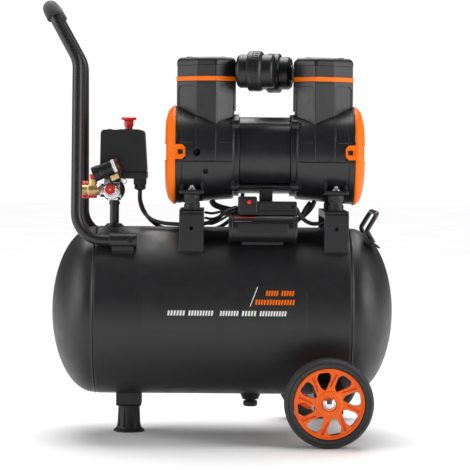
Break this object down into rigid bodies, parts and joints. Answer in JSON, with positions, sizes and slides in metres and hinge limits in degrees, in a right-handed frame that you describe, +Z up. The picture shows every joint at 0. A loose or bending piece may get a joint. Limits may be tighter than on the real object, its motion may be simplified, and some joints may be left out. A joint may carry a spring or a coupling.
{
  "type": "air compressor",
  "caption": "Portable oil-free air compressor: horizontal tank on wheels and a rubber foot, twin-cylinder pump and motor on top, pull handle, pressure switch and regulator.",
  "frame": {"origin": "on the floor, under the middle of the whole machine's length and width", "axes": "+X along the tank, away from the pulling handle; -Y is the control-box side; +Z up"},
  "size_m": [0.5307, 0.3466, 0.6514],
  "materials": {
    "tank_paint": "satin powder coat",
    "steel_paint": "satin black paint",
    "casing": "black coated die casting",
    "black_plastic": "moulded, fine grain",
    "orange_plastic": "moulded, semi-gloss",
    "wheel_orange": "moulded, semi-gloss",
    "tyre": "smooth moulded tread",
    "rubber": "matt",
    "cable": "extruded sheath",
    "foam_grip": "closed-cell foam",
    "red_plastic": "moulded, glossy",
    "brass": "turned",
    "chrome": "plated",
    "bright_steel": "turned",
    "aluminium": "cast"
  },
  "bodies": {
    "chassis": {"axle_bracket": "steel_paint", "capacitor": "aluminium", "capacitor_housing": "black_plastic", "coupler_body": "bright_steel", "crankcase_left": "casing", "crankcase_right": "casing", "cylinder_head_left": "black_plastic", "cylinder_head_right": "black_plastic", "discharge_hose_left": "cable", "discharge_hose_right": "cable", "drain_valve": "black_plastic", "fan_cover_left": "orange_plastic", "fan_cover_right": "orange_plastic", "foot_bracket": "steel_paint", "handle_grip": "foam_grip", "handle_socket_front": "steel_paint", "handle_socket_rear": "steel_paint", "handle_tube": "steel_paint", "intake_filter_left": "black_plastic", "intake_filter_right": "black_plastic", "lifting_loop": "steel_paint", "motor_stator": "casing", "outlet_cock": "brass", "pressure_gauge": "black_plastic", "pump_bracket_left": "steel_paint", "pump_bracket_right": "steel_paint", "regulator_body": "chrome", "riser_manifold": "chrome", "rubber_foot": "rubber", "rubber_mount_left_front": "rubber", "rubber_mount_left_rear": "rubber", "rubber_mount_right_front": "rubber", "rubber_mount_right_rear": "rubber", "supply_lead": "cable", "switch_base": "black_plastic", "switch_cover": "black_plastic", "switch_lead": "cable", "tank_end_left": "tank_paint", "tank_end_right": "tank_paint", "tank_shell": "tank_paint", "terminal_box": "black_plastic", "valve_plate_left": "orange_plastic", "valve_plate_right": "orange_plastic", "wheel_bolt_front": "chrome", "wheel_bolt_rear": "chrome"},
    "wheel_front": {"rim_front": "wheel_orange", "tyre_front": "tyre"},
    "wheel_rear": {"rim_rear": "wheel_orange", "tyre_rear": "tyre"},
    "crankshaft": {"crankshaft": "bright_steel"},
    "piston_left": {"piston_left": "aluminium"},
    "piston_right": {"piston_right": "aluminium"},
    "switch_knob": {"switch_knob": "red_plastic"},
    "reset_button": {"reset_button": "red_plastic"},
    "regulator_knob": {"regulator_knob": "black_plastic"},
    "coupler_sleeve": {"coupler_sleeve": "red_plastic"},
    "valve_knob": {"valve_knob": "red_plastic"},
    "safety_ring": {"safety_ring": "chrome"},
    "gauge_needle": {"gauge_needle": "red_plastic"},
    "drain_knob": {"drain_knob": "black_plastic"}
  },
  "joints": [
    {"name": "wheel_front_spin", "type": "hinge", "parent": "chassis", "child": "wheel_front", "pos_m": [0.16237, -0.153, 0.065], "axis": [0, 1, 0], "continuous": true},
    {"name": "wheel_rear_spin", "type": "hinge", "parent": "chassis", "child": "wheel_rear", "pos_m": [0.16237, 0.153, 0.065], "axis": [0, 1, 0], "continuous": true},
    {"name": "crankshaft_spin", "type": "hinge", "parent": "chassis", "child": "crankshaft", "pos_m": [0.06938, 0, 0.422], "axis": [1, 0, 0], "continuous": true},
    {"name": "piston_left_stroke", "type": "slide", "parent": "chassis", "child": "piston_left", "axis": [0, 0, 1], "range_m": [0, 0.015]},
    {"name": "piston_right_stroke", "type": "slide", "parent": "chassis", "child": "piston_right", "axis": [0, 0, 1], "range_m": [0, 0.015]},
    {"name": "switch_knob_pull", "type": "slide", "parent": "chassis", "child": "switch_knob", "axis": [0, 0, 1], "range_m": [0, 0.006]},
    {"name": "reset_button_press", "type": "slide", "parent": "chassis", "child": "reset_button", "axis": [0, 1, 0], "range_m": [0, 0.003], "stiffness_N_per_m": 150},
    {"name": "regulator_knob_turn", "type": "hinge", "parent": "chassis", "child": "regulator_knob", "pos_m": [-0.15862, -0.046, 0.403], "axis": [0.9205, 0, 0.3907], "range_deg": [-540, 540]},
    {"name": "coupler_sleeve_pull", "type": "slide", "parent": "chassis", "child": "coupler_sleeve", "axis": [1, 0, 0], "range_m": [0, 0.004], "stiffness_N_per_m": 900},
    {"name": "valve_knob_turn", "type": "hinge", "parent": "chassis", "child": "valve_knob", "pos_m": [-0.16262, -0.035, 0.369], "axis": [0, -1, 0], "range_deg": [0, 720]},
    {"name": "safety_ring_pull", "type": "slide", "parent": "chassis", "child": "safety_ring", "axis": [1, 0, 0], "range_m": [0, 0.003], "stiffness_N_per_m": 400},
    {"name": "gauge_needle_sweep", "type": "hinge", "parent": "chassis", "child": "gauge_needle", "pos_m": [-0.16062, 0.029, 0.367], "axis": [0, -1, 0], "range_deg": [0, 270]},
    {"name": "drain_knob_turn", "type": "hinge", "parent": "chassis", "child": "drain_knob", "pos_m": [0.05137, 0, 0.045], "axis": [0, 0, 1], "range_deg": [0, 360]}
  ]
}
